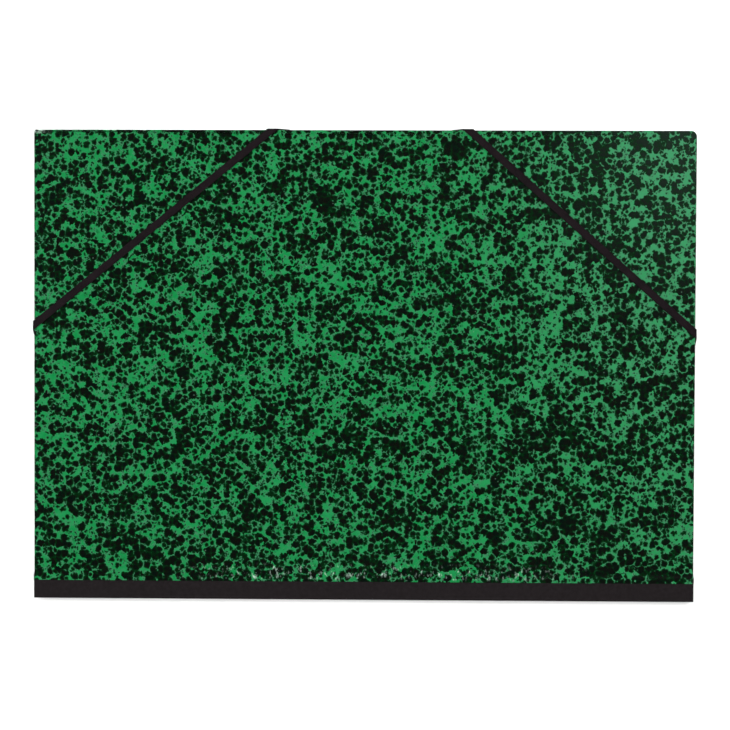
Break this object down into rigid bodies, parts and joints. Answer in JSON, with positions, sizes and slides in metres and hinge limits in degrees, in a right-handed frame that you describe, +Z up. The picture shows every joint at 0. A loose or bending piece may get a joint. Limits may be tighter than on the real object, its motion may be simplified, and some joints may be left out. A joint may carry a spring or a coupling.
{
  "type": "drawing portfolio",
  "caption": "Two-board drawing portfolio covered in marbled paper, with a cloth spine and an elastic across each corner; its front cover opens flat.",
  "frame": {"origin": "under the middle of the closed portfolio, on the surface that it lies on", "axes": "+X along the spine, +Y from the spine to the open edge, +Z up, from the back cover to the front cover"},
  "size_m": [0.452, 0.321, 0.0079],
  "materials": {
    "marbled_paper": "green and black marbled paper, slightly glossy",
    "greyboard": "plain grey board",
    "lining_paper": "plain matt paper",
    "book_cloth": "fine woven cloth, filled and matt",
    "woven_elastic": "ribbed woven elastic",
    "crimped_steel": "bright plated steel"
  },
  "bodies": {
    "back_cover": {"back_board": "greyboard", "back_cover_paper": "marbled_paper", "back_lining": "lining_paper", "elastic_left": "woven_elastic", "elastic_right": "woven_elastic", "elastic_bar_left_top": "crimped_steel", "elastic_bar_left_side": "crimped_steel", "elastic_bar_right_top": "crimped_steel", "elastic_bar_right_side": "crimped_steel"},
    "spine": {"spine_cloth": "book_cloth", "spine_inner_strip": "book_cloth"},
    "front_cover": {"front_board": "greyboard", "front_cover_paper": "marbled_paper", "front_lining": "lining_paper"}
  },
  "joints": [
    {"name": "spine_fold", "type": "hinge", "parent": "back_cover", "child": "spine", "pos_m": [0, -0.1603, 0.00093], "axis": [1, 0, 0], "range_deg": [0, 90], "deforming": ["spine_cloth", "spine_inner_strip", "elastic_left", "elastic_right"]},
    {"name": "cover_fold", "type": "hinge", "parent": "spine", "child": "front_cover", "pos_m": [0, -0.1603, 0.00698], "axis": [1, 0, 0], "range_deg": [0, 90]}
  ],
  "couplings": [
    {"joint": "cover_fold", "follows": "spine_fold", "ratio": 1}
  ]
}
